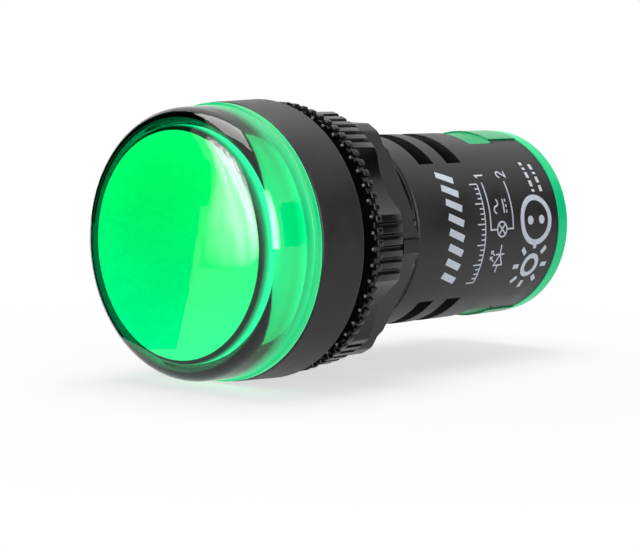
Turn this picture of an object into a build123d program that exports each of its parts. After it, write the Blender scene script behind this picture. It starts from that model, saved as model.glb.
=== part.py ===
from build123d import *
from math import cos, radians, sin
import os

# Panel pilot light, in millimetres. Y is the lamp's axis: the lens faces -Y and the
# terminals face +Y. +Z is up. The origin is the centre of the bezel's rear face, which
# seats on the panel. A station is a place along Y, and an angle runs from +X to +Z.

# Lens, diffuser and bezel
lens_front = -13.5
lens_wall = 0.9
lens_side_wall = 1.1
lens_edge_round = 2.7
lens_radius = 13.9
lens_skirt_radius = 14.2
lens_rim_radius = 14.42
lens_rim = 0.85
lens_rim_edge = 0.2
lens_shelf = 1.0
spigot_radius = 13.15
spigot_bore = 12.2
spigot_end = -3.6
snap_height = 0.2
snap_slope = 0.2
snap_front = -4.95
snap_rear = -4.3
diffuser_radius = 11.6
diffuser_wall = 0.8
diffuser_edge_round = 0.8
diffuser_flange = 12.8
bezel_front = -6.15
bezel_front_radius = 14.5
bezel_radius = 14.75
bezel_bore = 13.2
bezel_front_edge = 0.25
bezel_rear_edge = 0.3
web_front = -1.6
light_board_front = -2.8

# Threaded barrel and shell behind the panel
barrel_radius = 10.85
bore_radius = 9.5
thread_end = 12.6
undercut_end = 13.2
undercut_radius = 10.35
shell_radius = 10.7
shell_edge = 0.15
shell_end = 38.4
vent_stations = (16.9, 21.7)
vent_width = 2.5
vent_half_angle = 45
window_front = 27.8
window_rear = 33.5
window_half_angle = 30
notch_half_angle = 26.5
rail_stations = (1.0, 26.0)
rail_reach = 8.0
rail_height = 0.8
gasket_radius = 13.3
gasket_bore = 10.95
gasket_thickness = 0.9
gasket_recess = 0.6
gasket_edge = 0.2

# Lock nut
nut_bore = 10.9
nut_bore_edge = 0.4
nut_turn = -2.2
nut_front = 2.2
flange_rear = 3.1
rib_rear = 6.9
nut_rear = 10.0
flange_radius = 14.45
rib_radius = 14.1
knurl_pitch = 5
knurl_width = 0.62
knurl_depth = 0.4
lobe_count = 6
ribs_to_side = 2
scoop_radius = 8.0
scoop_floor = 12.58
hexagon_apothem = 12.4
hexagon_corner = 13.9
corner_bevel = 0.5
pip_count = 52
pip_circle = 13.8
pip_radius = 0.24
pip_height = 0.15
pip_taper = 35

# Boards and what they carry
board_thickness = 1.2
driver_half_width = 8.8
driver_thickness = 1.6
driver_rear = 27.4
led_count = 6
led_circle = 6.4
led_radius = 2.4
led_height = 4.6
led_flange = 0.7
led_flange_radius = 2.7
lead_radius = 0.25
lead_gap = 1.27
lead_tail = 0.7
pin_width = 0.64
pin_offset = 2.54
pin_stations = (-3.4, 3.0)
rectifier_half_width = 3.2
rectifier_stations = (17.5, 22.3)
rectifier_standoff = 0.15
rectifier_height = 2.7
rectifier_bevel = 0.5
foot_stations = (18.1, 20.7)
foot_width = 1.0
foot_reach = 4.4
foot_thickness = 0.3
foot_bend = 3.1
foot_top = 1.4
capacitor_radius = 3.15
capacitor_x = 4.0
capacitor_stations = (5.0, 13.2)
capacitor_round = 0.4
capacitor_lead_x = 1.0
capacitor_lead_end = 14.6
resistor_x = 5.0
resistor_radius = 1.15
resistor_stations = (6.0, 12.0)
resistor_round = 0.45
resistor_lead_stations = (4.2, 13.8)
wire_width = 0.5

# Terminal base, plates, clamps and screws
base_radius = 9.45
base_front = 30.6
floor_rear = 32.6
rim_radius = 10.8
rim_rear = 40.3
rim_edge = 0.3
pocket_radius = 8.3
pocket_half_height = 5.8
barrier = 1.6
tongue_radius = 10.72
tongue_rib_radius = 10.88
tongue_front = 28.2
tongue_step = 33.25
tongue_root = 36.2
tongue_inner = 8.3
tongue_gap = 0.6
tongue_slit = 4
tongue_side_gap = 0.6
screw_x = 4.2
screw_radius = 1.5
screw_length = 6.0
screw_point = 0.4
head_radius = 2.6
head_height = 2.1
head_round = 0.9
slot_half_width = 0.35
slot_depth = 0.6
cross_reach = 1.5
cross_depth = 1.1
plate_width = 6.4
plate_height = 7.0
plate_thickness = 0.8
clamp_width = 6.2
clamp_height = 6.4
clamp_thickness = 0.9
clamp_lip = 0.5
clamp_lip_height = 0.35
clamp_lip_inset = 0.6
plate_corner = 0.4
clamp_corner = 0.6
boss_radius = 2.7
boss_length = 5.0
boss_hole_depth = 4.6
boss_hole_radius = 1.75
tail_width = 2.4
tail_thickness = 0.7
tail_front = 25.4
fit_gap = 0.05
cut_over = 0.1


def turned(*outline):
    """Solid turned about the lamp's axis from (radius, station) corners."""
    return revolve(make_face(Polyline(*outline, close=True)), Axis.Y)


def slab(sketch, front, rear):
    """Sketch across the lamp's axis, made solid between two stations."""
    plane = Plane((0, rear, 0), x_dir=(1, 0, 0), z_dir=(0, -1, 0))
    return extrude(plane * sketch, rear - front)


def block(x, station, z):
    """Box between two values along each axis."""
    size = [span[1] - span[0] for span in (x, station, z)]
    middle = [(span[0] + span[1]) / 2 for span in (x, station, z)]
    return Pos(*middle) * Box(*size)


def rod(radius, x, z, front, rear):
    """Round bar along the lamp's axis."""
    return slab(Pos(x, z) * Circle(radius), front, rear)


def band(inner, outer, centre, half_angle):
    """Sketch of a ring's sector about the lamp's axis."""
    reach = 2.5 * outer
    sides = [radians(centre - half_angle), radians(centre + half_angle)]
    wedge = make_face(Polyline((0, 0), *[(reach * cos(a), reach * sin(a)) for a in sides], close=True))
    return (Circle(outer) - Circle(inner)) & wedge


def around(count, radius, start=0):
    """Places on a circle across the lamp's axis, as (x, z, angle)."""
    angles = [start + k * 360 / count for k in range(count)]
    return [(radius * cos(radians(a)), radius * sin(radians(a)), a) for a in angles]


def shell_sector(centre, half_angle):
    """Sketch of a cut right through the shell's wall."""
    return band(bore_radius - 1, shell_radius + 1, centre, half_angle)


def make_lens_cap():
    """Clear cap with a round front edge, a rim on the bezel and a snap spigot inside it."""
    rim_front = bezel_front - lens_rim
    snap = spigot_radius + snap_height
    outer = make_face(Polyline(
        (0, lens_front), (lens_radius, lens_front), (lens_skirt_radius, rim_front),
        (lens_rim_radius, rim_front + lens_rim_edge), (lens_rim_radius, bezel_front),
        (spigot_radius, bezel_front), (spigot_radius, snap_front), (snap, snap_front + snap_slope),
        (snap, snap_rear - snap_slope), (spigot_radius, snap_rear), (spigot_radius, spigot_end),
        (0, spigot_end), close=True))
    outer = fillet(outer.vertices().sort_by(Axis.Y)[:2].sort_by(Axis.X)[-1], lens_edge_round)
    inner_radius = lens_radius - lens_side_wall
    inner = make_face(Polyline(
        (0, lens_front + lens_wall), (inner_radius, lens_front + lens_wall),
        (inner_radius, bezel_front - lens_shelf), (spigot_bore, bezel_front),
        (spigot_bore, spigot_end), (0, spigot_end), close=True))
    inner = fillet(inner.vertices().sort_by(Axis.Y)[:2].sort_by(Axis.X)[-1], lens_edge_round - lens_wall)
    return revolve(outer - inner, Axis.Y)


def make_diffuser():
    """Cup whose front glows behind the lens and whose flange holds the light board down."""
    front = lens_front + lens_wall
    inner = diffuser_radius - diffuser_wall
    section = make_face(Polyline(
        (0, front), (diffuser_radius, front), (diffuser_radius, spigot_end),
        (diffuser_flange, spigot_end), (diffuser_flange, light_board_front),
        (inner, light_board_front), (inner, front + diffuser_wall),
        (0, front + diffuser_wall), close=True))
    edge = section.vertices().sort_by(Axis.Y)[:2].sort_by(Axis.X)[-1]
    return revolve(fillet(edge, diffuser_edge_round), Axis.Y)


def make_housing():
    """Bezel, barrel and shell in one moulding, with vents, tongue windows and board rails."""
    groove = bezel_bore + snap_height
    groove_front = snap_front - fit_gap
    groove_rear = snap_rear + fit_gap
    recess_radius = gasket_radius + fit_gap
    body = turned(
        (bezel_bore, bezel_front), (bezel_front_radius - bezel_front_edge, bezel_front),
        (bezel_front_radius, bezel_front + bezel_front_edge), (bezel_radius, -bezel_rear_edge),
        (bezel_radius - bezel_rear_edge, 0), (recess_radius, 0), (recess_radius, -gasket_recess),
        (barrel_radius, -gasket_recess), (barrel_radius, thread_end),
        (undercut_radius, thread_end), (undercut_radius, undercut_end),
        (shell_radius - shell_edge, undercut_end), (shell_radius, undercut_end + shell_edge),
        (shell_radius, shell_end), (bore_radius, shell_end), (bore_radius, web_front),
        (bezel_bore, web_front), (bezel_bore, groove_rear), (groove, groove_rear - snap_slope),
        (groove, groove_front + snap_slope), (bezel_bore, groove_front))
    for top in (90, -90):
        for station in vent_stations:
            body -= slab(shell_sector(top, vent_half_angle), station, station + vent_width)
        body -= slab(shell_sector(top, window_half_angle), window_front, window_rear)
        body -= slab(shell_sector(top, notch_half_angle), window_rear, shell_end)
    half = driver_thickness / 2
    for side in (-1, 1):
        x = sorted((side * rail_reach, side * (bore_radius + shell_radius) / 2))
        for z in ((half, half + rail_height), (-half - rail_height, -half)):
            body += block(x, rail_stations, z)
    return body


def make_gasket():
    """Soft ring in the bezel's rear recess, a little proud of the panel seat."""
    front = -gasket_recess
    rear = front + gasket_thickness
    return turned(
        (gasket_bore, front), (gasket_radius, front), (gasket_radius, rear - gasket_edge),
        (gasket_radius - gasket_edge, rear), (gasket_bore, rear))


def knurl_cuts(radius, angles):
    """Sketch of vee cuts in a rim of the given radius."""
    cuts = Sketch()
    for angle in angles:
        vee = make_face(Polyline(
            (radius - knurl_depth, 0), (radius + cut_over, knurl_width / 2),
            (radius + cut_over, -knurl_width / 2), close=True))
        cuts += Rot(0, 0, angle) * vee
    return cuts


def make_lock_nut():
    """Knurled flange with panel pips, six ribbed lobes with finger scoops, and a hexagon."""
    first = nut_turn
    lobe_pitch = 360 / lobe_count
    rim_angles = [first + k * knurl_pitch for k in range(360 // knurl_pitch)]
    flange = Circle(flange_radius) - knurl_cuts(flange_radius, rim_angles)
    lobes = Circle(rib_radius)
    for x, z, angle in around(lobe_count, scoop_floor + scoop_radius, first + lobe_pitch / 2):
        lobes -= Pos(x, z) * Circle(scoop_radius)
    offsets = [k * knurl_pitch for k in range(-ribs_to_side, ribs_to_side + 1)]
    rib_angles = [first + lobe_pitch * k + step for k in range(lobe_count) for step in offsets]
    lobes -= knurl_cuts(rib_radius, rib_angles)
    hexagon = Rot(0, 0, first) * RegularPolygon(hexagon_apothem, lobe_count, major_radius=False)
    bevel = turned(
        (0, rib_rear), (hexagon_corner, rib_rear), (hexagon_corner, nut_rear - corner_bevel),
        (hexagon_corner - 2 * corner_bevel, nut_rear), (0, nut_rear))
    nut = slab(flange, nut_front, flange_rear) + slab(lobes, flange_rear, rib_rear)
    nut += slab(hexagon, rib_rear, nut_rear) & bevel
    nut -= turned(
        (0, nut_front), (nut_bore + nut_bore_edge, nut_front), (nut_bore, nut_front + nut_bore_edge),
        (nut_bore, nut_rear - nut_bore_edge), (nut_bore + nut_bore_edge, nut_rear), (0, nut_rear))
    pips = []
    for x, z, angle in around(pip_count, pip_circle, first):
        foot = Plane((x, nut_front, z), x_dir=(1, 0, 0), z_dir=(0, -1, 0))
        pips.append(extrude(foot * RegularPolygon(pip_radius, 5), pip_height, taper=pip_taper))
    return nut + pips


def led_places():
    """Places of the LEDs across the axis, clear of the link pins."""
    return around(led_count, led_circle, 180 / led_count)


def lead_places(x, z, angle):
    """Places of one LED's two leads, set across its radius."""
    turn = radians(angle + 90)
    return [(x + side * lead_gap * cos(turn), z + side * lead_gap * sin(turn)) for side in (-1, 1)]


def make_light_board():
    """Round board for the LEDs, held between the web and the diffuser's flange."""
    board = rod(diffuser_flange, 0, 0, light_board_front, light_board_front + board_thickness)
    for place in led_places():
        for x, z in lead_places(*place):
            board -= rod(lead_radius + fit_gap, x, z, light_board_front, web_front)
    for side in (-1, 1):
        board -= link_pin(side, fit_gap)
    return board


def link_pin(side, gap=0.0):
    """Square pin that joins the two boards and lies on the driver board."""
    x = side * pin_offset
    half = pin_width / 2 + gap
    z = driver_thickness / 2 + pin_width / 2
    return block((x - half, x + half), pin_stations, (z - half, z + half))


def make_led(place):
    """Round LED with a flange, a domed front and two leads."""
    x, z, angle = place
    seat = light_board_front
    dome_start = seat - led_height + led_radius
    profile = make_face(
        Polyline((0, seat - led_height), (0, seat), (led_flange_radius, seat),
                 (led_flange_radius, seat - led_flange), (led_radius, seat - led_flange),
                 (led_radius, dome_start))
        + RadiusArc((led_radius, dome_start), (0, seat - led_height), led_radius))
    led = Pos(x, 0, z) * revolve(profile, Axis.Y)
    for lead_x, lead_z in lead_places(x, z, angle):
        led += rod(lead_radius, lead_x, lead_z, seat, web_front + lead_tail)
    return led


def make_driver_board():
    """Long board between the rails that carries the supply parts."""
    half = driver_thickness / 2
    return block((-driver_half_width, driver_half_width), (web_front, driver_rear), (-half, half))


def make_bridge_rectifier():
    """Moulded block with four feet on the driver board."""
    face = driver_thickness / 2
    body = block((-rectifier_half_width, rectifier_half_width), rectifier_stations,
                 (face + rectifier_standoff, face + rectifier_height))
    body = chamfer(body.edges().filter_by(Axis.Y).group_by(Axis.Z)[-1], rectifier_bevel)
    for side in (-1, 1):
        for station in foot_stations:
            along = (station, station + foot_width)
            sole = sorted((side * foot_bend, side * foot_reach))
            body += block(sole, along, (face, face + foot_thickness))
            shin = sorted((side * foot_bend, side * (rectifier_half_width + foot_thickness)))
            body += block(shin, along, (face, face + foot_top))
    return body


def wire_stub(x, stations, heights):
    """Short straight run of a component's lead."""
    half = wire_width / 2
    return block((x - half, x + half), stations, heights)


def make_capacitor():
    """Round can that lies on the driver board, with its two leads bent to it."""
    face = driver_thickness / 2
    z = face + capacitor_radius
    half = wire_width / 2
    front, rear = capacitor_stations
    can = rod(capacitor_radius, capacitor_x, z, front, rear)
    can = fillet(can.edges().group_by(Axis.Y)[0], capacitor_round)
    for side in (-1, 1):
        x = capacitor_x + side * capacitor_lead_x
        can += wire_stub(x, (rear, capacitor_lead_end), (z - half, z + half))
        can += wire_stub(x, (capacitor_lead_end - wire_width, capacitor_lead_end), (face, z - half))
    return can


def make_resistor(side):
    """Axial resistor under the driver board, with its leads bent up to it."""
    face = -driver_thickness / 2
    x = side * resistor_x
    z = face - resistor_radius
    half = wire_width / 2
    front, rear = resistor_stations
    body = rod(resistor_radius, x, z, front, rear)
    body = fillet(body.edges(), resistor_round)
    first, last = resistor_lead_stations
    for run, foot in (((first, front), first), ((rear, last), last - wire_width)):
        body += wire_stub(x, run, (z - half, z + half))
        body += wire_stub(x, (foot, foot + wire_width), (z, face))
    return body


def make_terminal_base():
    """Base with a rim behind the shell, two screw pockets and two snap tongues."""
    base = turned(
        (0, base_front), (base_radius, base_front), (base_radius, shell_end),
        (rim_radius, shell_end), (rim_radius, rim_rear - rim_edge), (rim_radius - rim_edge, rim_rear),
        (0, rim_rear))
    tall = 2 * pocket_half_height
    pockets = Circle(pocket_radius) & Rectangle(2 * pocket_radius, tall)
    base -= slab(pockets - Rectangle(barrier, tall), floor_rear, rim_rear)
    for side in (-1, 1):
        x = side * screw_x
        base += rod(boss_radius, x, 0, floor_rear - boss_length, base_front)
        base -= rod(boss_hole_radius, x, 0, floor_rear - boss_hole_depth, floor_rear)
        base -= terminal_tail(side, fit_gap)
    slit_root = tongue_inner - tongue_gap
    for top in (90, -90):
        relief = band(slit_root, tongue_inner, top, window_half_angle + tongue_slit)
        for edge in (-1, 1):
            centre = top + edge * (window_half_angle + tongue_slit / 2)
            relief += band(slit_root, base_radius + cut_over, centre, tongue_slit / 2)
        base -= slab(relief, base_front, tongue_root)
        head = band(tongue_inner, tongue_radius, top, window_half_angle - tongue_side_gap)
        base += slab(head, tongue_front, tongue_step)
        neck = band(tongue_inner, tongue_rib_radius, top, notch_half_angle - tongue_side_gap)
        base += slab(neck, tongue_step, shell_end)
    return base


def terminal_tail(side, gap=0.0):
    """Strip from a terminal plate through the base's floor to the driver board."""
    x = (side * screw_x - tail_width / 2 - gap, side * screw_x + tail_width / 2 + gap)
    top = plate_height / 2 + gap
    low = plate_height / 2 - tail_thickness - gap
    strip = block(x, (tail_front, floor_rear), (low, top))
    leg = block(x, (tail_front - gap, tail_front + tail_thickness + gap), (driver_thickness / 2, low))
    return strip + leg


def make_terminal_plate(side):
    """Tapped brass plate on the pocket's floor, with its tail."""
    x = side * screw_x
    outline = Pos(x, 0) * RectangleRounded(plate_width, plate_height, plate_corner)
    hole = Pos(x, 0) * Circle(screw_radius + fit_gap)
    return slab(outline - hole, floor_rear, floor_rear + plate_thickness) + terminal_tail(side)


def make_wire_clamp(side):
    """Square washer that stays on its screw and presses the wire on the plate."""
    x = side * screw_x
    front = floor_rear + plate_thickness
    outline = Pos(x, 0) * RectangleRounded(clamp_width, clamp_height, clamp_corner)
    hole = Pos(x, 0) * Circle(screw_radius + fit_gap)
    rear = front + clamp_thickness
    clamp = slab(outline - hole, front, rear)
    reach = clamp_width / 2 - clamp_lip_inset
    for edge in (-1, 1):
        z = sorted((edge * (clamp_height / 2 - clamp_lip), edge * clamp_height / 2))
        clamp += block((x - reach, x + reach), (rear, rear + clamp_lip_height), z)
    return clamp


def make_terminal_screw(side):
    """Pan head screw with a cross recess and a slot."""
    x = side * screw_x
    seat = floor_rear + plate_thickness + clamp_thickness
    head = rod(head_radius, x, 0, seat, seat + head_height)
    head = fillet(head.edges().group_by(Axis.Y)[-1], head_round)
    shank = rod(screw_radius, x, 0, seat - screw_length, seat)
    shank = chamfer(shank.edges().group_by(Axis.Y)[0], screw_point)
    top = seat + head_height
    half = slot_half_width
    deep = (top - cross_depth, top)
    cross = block((x - cross_reach, x + cross_reach), deep, (-half, half))
    cross += block((x - half, x + half), deep, (-cross_reach, cross_reach))
    slot = block((x - head_radius, x + head_radius), (top - slot_depth, top), (-half, half))
    return head + shank - cross - slot


nodes = {
    "lens_cap": make_lens_cap(),
    "diffuser": make_diffuser(),
    "housing": make_housing(),
    "gasket": make_gasket(),
    "lock_nut": make_lock_nut(),
    "led_board": make_light_board(),
    "driver_board": make_driver_board(),
    "bridge_rectifier": make_bridge_rectifier(),
    "capacitor": make_capacitor(),
    "terminal_base": make_terminal_base(),
}
for number, place in enumerate(led_places(), start=1):
    nodes[f"led_{number}"] = make_led(place)
for number, side in ((1, -1), (2, 1)):
    nodes[f"resistor_{number}"] = make_resistor(side)
    nodes[f"link_pin_{number}"] = link_pin(side)
    nodes[f"terminal_plate_{number}"] = make_terminal_plate(side)
    nodes[f"wire_clamp_{number}"] = make_wire_clamp(side)
    nodes[f"terminal_screw_{number}"] = make_terminal_screw(side)

os.makedirs("parts", exist_ok=True)
for name, solid in nodes.items():
    export_step(solid, f"parts/{name}.step")
    print(f"{name}: {solid.volume:.1f} cubic mm")
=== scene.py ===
"""Looks of a round panel pilot light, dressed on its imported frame.

Lengths in the classes are millimetres, as on a drawing, and become metres when a
vertex is placed. The lamp's axis is Y: the lens faces -Y and the terminals face +Y.
A station is a place along Y. An angle about the axis runs from +X to +Z.
"""

import logging
from dataclasses import dataclass
from enum import Enum
from functools import partial
from math import acos, atan2, ceil, cos, degrees, hypot, pi, radians, sin, sqrt
from typing import Any, Callable, Mapping, Sequence

import bmesh
import bpy
from mathutils import Matrix, Vector

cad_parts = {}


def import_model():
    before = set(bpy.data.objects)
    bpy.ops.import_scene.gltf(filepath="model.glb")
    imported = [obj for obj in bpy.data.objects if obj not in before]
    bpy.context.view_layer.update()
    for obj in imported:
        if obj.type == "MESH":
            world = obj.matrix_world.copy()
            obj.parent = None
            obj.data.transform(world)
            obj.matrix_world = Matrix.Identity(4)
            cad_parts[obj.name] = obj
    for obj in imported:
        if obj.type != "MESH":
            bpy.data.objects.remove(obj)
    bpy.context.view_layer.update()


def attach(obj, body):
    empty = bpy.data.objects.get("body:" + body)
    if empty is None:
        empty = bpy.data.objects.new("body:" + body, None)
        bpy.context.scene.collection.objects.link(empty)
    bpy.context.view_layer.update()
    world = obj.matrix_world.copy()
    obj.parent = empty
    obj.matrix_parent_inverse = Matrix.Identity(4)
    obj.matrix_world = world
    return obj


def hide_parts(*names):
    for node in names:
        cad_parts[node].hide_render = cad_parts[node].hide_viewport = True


LOG = logging.getLogger("pilot_light")
MM = 0.001
SHARP_ANGLE = 34.0
FLAT_ANGLE = 1.0
WELD_GAP = 0.002

Point = tuple[float, float]
Corner = tuple[float, float, float]
Colour = tuple[float, float, float]
Outline = Callable[[float], float] | float
Vertices = Sequence[bmesh.types.BMVert]

BLACK: Colour = (0.0, 0.0, 0.0)
WHITE: Colour = (1.0, 1.0, 1.0)
EVEN: Corner = (1.0, 1.0, 1.0)


class Body(str, Enum):
    """Bodies that a piece can ride on."""

    LAMP = "lamp"
    NUT = "nut"
    CLAMP_1 = "clamp_1"
    CLAMP_2 = "clamp_2"
    SCREW_1 = "screw_1"
    SCREW_2 = "screw_2"


class Slot(str, Enum):
    """Material slots."""

    LENS = "lens_green"
    DIFFUSER = "diffuser_green"
    MOULDING = "black_moulding"
    RUBBER = "gasket_rubber"
    NUT = "black_nut"
    BOARD = "board_laminate"
    COMPONENT = "component_black"
    CAPACITOR = "capacitor_sleeve"
    RESISTOR = "resistor_coat"
    LED = "led_resin"
    PIN = "pin_metal"
    BRASS = "brass"
    STEEL = "plated_steel"
    BASE = "base_green"


class Value:
    """An output socket that Python's operators can work on."""

    def __init__(self, graph: "Graph", socket: bpy.types.NodeSocket) -> None:
        """Keep the socket and the graph that it belongs to."""
        self.graph = graph
        self.socket = socket

    def math(self, operation: str, *others: "Value | float") -> "Value":
        """Add a Math node that starts from this value."""
        inputs = dict(enumerate((self, *others)))
        return self.graph.value("ShaderNodeMath", {"operation": operation}, inputs)

    def reflected(self, operation: str, first: float) -> "Value":
        """Add a Math node whose first input is a plain number."""
        return self.graph.value("ShaderNodeMath", {"operation": operation}, {0: first, 1: self})

    def __add__(self, other: "Value | float") -> "Value":
        """Sum."""
        return self.math("ADD", other)

    def __radd__(self, other: float) -> "Value":
        """Sum with a number first."""
        return self.reflected("ADD", other)

    def __sub__(self, other: "Value | float") -> "Value":
        """Difference."""
        return self.math("SUBTRACT", other)

    def __rsub__(self, other: float) -> "Value":
        """Difference with a number first."""
        return self.reflected("SUBTRACT", other)

    def __mul__(self, other: "Value | float") -> "Value":
        """Product."""
        return self.math("MULTIPLY", other)

    def __rmul__(self, other: float) -> "Value":
        """Product with a number first."""
        return self.reflected("MULTIPLY", other)

    def __truediv__(self, other: "Value | float") -> "Value":
        """Quotient."""
        return self.math("DIVIDE", other)

    def __rtruediv__(self, other: float) -> "Value":
        """Quotient with a number first."""
        return self.reflected("DIVIDE", other)

    def __gt__(self, other: "Value | float") -> "Value":
        """1 where this value is the greater."""
        return self.math("GREATER_THAN", other)

    def __lt__(self, other: "Value | float") -> "Value":
        """1 where this value is the smaller."""
        return self.math("LESS_THAN", other)

    def ramp(self, low: float, high: float, start: float = 0.0, end: float = 1.0) -> "Value":
        """Map this value from low..high to start..end, and clamp it there."""
        inputs = {0: self, 1: low, 2: high, 3: start, 4: end}
        return self.graph.value("ShaderNodeMapRange", {"clamp": True}, inputs)


class Graph:
    """Adds nodes to one shader or geometry tree."""

    def __init__(self, tree: bpy.types.NodeTree) -> None:
        """Keep the tree."""
        self.tree = tree

    def node(self, kind: str, settings: Mapping[str, Any] | None = None,
             inputs: Mapping[int | str, Any] | None = None) -> bpy.types.Node:
        """Add any node.

        Args:
            kind: The node's type name.
            settings: Properties to set before the inputs.
            inputs: Numbers, colours, values or sockets by input name or index.

        Returns:
            The node.
        """
        made = self.tree.nodes.new(kind)
        for name, setting in (settings or {}).items():
            setattr(made, name, setting)
        for key, given in (inputs or {}).items():
            self.feed(made.inputs[key], given)
        return made

    def feed(self, socket: bpy.types.NodeSocket, given: Any) -> None:
        """Set a socket, or link it.

        Args:
            socket: The input socket.
            given: A plain value to set, or a Value or an output socket to link.
        """
        source = given.socket if isinstance(given, Value) else given
        if isinstance(source, bpy.types.NodeSocket):
            self.tree.links.new(source, socket)
        else:
            socket.default_value = source

    def value(self, kind: str, settings: Mapping[str, Any] | None = None,
              inputs: Mapping[int | str, Any] | None = None, output: int | str = 0) -> Value:
        """Add any node and take one of its outputs."""
        return Value(self, self.node(kind, settings, inputs).outputs[output])


class Shader(Graph):
    """A material's node tree, with the patterns that the finishes share."""

    def __init__(self, name: str) -> None:
        """Start an empty material.

        Args:
            name: The material's name.
        """
        self.material = bpy.data.materials.new(name)
        self.material.use_nodes = True
        super().__init__(self.material.node_tree)
        self.tree.nodes.clear()
        self.output = self.node("ShaderNodeOutputMaterial")
        self.place = self.value("ShaderNodeTexCoord", output="Object")

    def noise(self, size: float, detail: float = 2.0, stretch: Corner = EVEN) -> Value:
        """Noise on object coordinates.

        Args:
            size: Width of a blotch in millimetres.
            detail: Noise detail.
            stretch: Factors on the coordinates, under 1 to draw the pattern out.

        Returns:
            Noise from 0 to 1.
        """
        place = self.place
        if stretch != EVEN:
            place = self.value("ShaderNodeMapping", inputs={"Vector": place, "Scale": stretch})
        return self.value("ShaderNodeTexNoise", inputs={
            "Vector": place, "Scale": 1 / (size * MM), "Detail": detail})

    def axis(self, name: str) -> Value:
        """One object coordinate, in millimetres."""
        parts = self.node("ShaderNodeSeparateXYZ", inputs={0: self.place})
        return Value(self, parts.outputs[name]) * (1 / MM)

    def radius(self) -> Value:
        """Distance from the lamp's axis, in millimetres."""
        across, up = self.axis("X"), self.axis("Z")
        return (across * across + up * up).math("SQRT")

    def mix(self, factor: Value | float, first: Value | Colour, second: Value | Colour) -> Value:
        """Blend two colours.

        Args:
            factor: Share of the second colour.
            first: The first colour.
            second: The second colour.

        Returns:
            The blend.
        """
        ends = [given if isinstance(given, Value) else opaque(given) for given in (first, second)]
        inputs = {0: factor, 6: ends[0], 7: ends[1]}
        return self.value("ShaderNodeMix", {"data_type": "RGBA"}, inputs, 2)

    def bump(self, height: Value, depth: float) -> Value:
        """Bump from a height of 0 to 1 over a depth in millimetres."""
        return self.value("ShaderNodeBump", inputs={
            "Height": height, "Distance": depth * MM, "Strength": 1.0})

    def surface(self, kind: str, inputs: Mapping[int | str, Any]) -> bpy.types.Material:
        """Finish the material with one shader.

        Args:
            kind: The shader node's type name.
            inputs: Its inputs.

        Returns:
            The material.
        """
        shader = self.node(kind, inputs=inputs)
        self.feed(self.output.inputs["Surface"], shader.outputs[0])
        return self.material

    def principled(self, inputs: Mapping[str, Any]) -> bpy.types.Material:
        """Finish the material with a Principled shader."""
        return self.surface("ShaderNodeBsdfPrincipled", inputs)


def opaque(colour: Colour) -> tuple[float, float, float, float]:
    """The colour with an alpha of 1."""
    return (*colour, 1.0)


def shaded(colour: Colour, share: float) -> Colour:
    """The colour made darker or paler, up to 1."""
    return tuple(min(1.0, part * share) for part in colour)


@dataclass(frozen=True)
class Finish:
    """A surface finish, made once and shared. Its sizes are in millimetres."""

    name: str
    slot: Slot

    def build(self, shader: Shader) -> bpy.types.Material:
        """Add the finish's nodes."""
        raise NotImplementedError

    def material(self) -> bpy.types.Material:
        """The finish's material, named apart from the frame's own."""
        name = f"{self.name}_finish"
        return bpy.data.materials.get(name) or self.build(Shader(name))


@dataclass(frozen=True)
class ClearPlastic(Finish):
    """Clear dyed plastic with a polished, faintly rippled surface. Its dye darkens thick places.
    Its side wall may carry a painted glow towards the rear.
    """

    tint: Colour
    index: float = 1.49
    polish: float = 0.012
    smear: float = 0.02
    smear_size: float = 0.8
    ripple_size: float = 4.0
    ripple_depth: float = 0.01
    dye: Colour = (0.0, 0.8, 0.7)
    strength: float = 0.0
    # Painted glow: emission colour on the side wall towards the rear, where no lamp is.
    glow: Colour = BLACK
    painted_glow_stations: Point = (-9.4, -7.6)
    painted_glow_radius: float = 13.5
    glow_frost: float = 0.35

    def build(self, shader: Shader) -> bpy.types.Material:
        """Add the finish's nodes.

        Args:
            shader: The empty material.

        Returns:
            The material.
        """
        rough = shader.noise(self.smear_size) * self.smear + self.polish
        if self.strength:
            dye = shader.node("ShaderNodeVolumeAbsorption", inputs={
                "Color": opaque(self.dye), "Density": self.strength})
            shader.feed(shader.output.inputs["Volume"], dye.outputs[0])
        inputs = {
            "Base Color": opaque(self.tint), "Roughness": rough, "IOR": self.index,
            "Transmission Weight": 1.0,
            "Normal": shader.bump(shader.noise(self.ripple_size), self.ripple_depth)}
        # Painted glow: the side wall beyond the glow radius emits, fading in towards the rear.
        if any(self.glow):
            outside = shader.radius() > self.painted_glow_radius
            painted_glow_band = shader.axis("Y").ramp(*self.painted_glow_stations) * outside
            inputs["Roughness"] = rough + painted_glow_band * self.glow_frost
            inputs["Emission Color"] = shader.mix(painted_glow_band, BLACK, self.glow)
            inputs["Emission Strength"] = 1.0
        return shader.principled(inputs)


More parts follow.
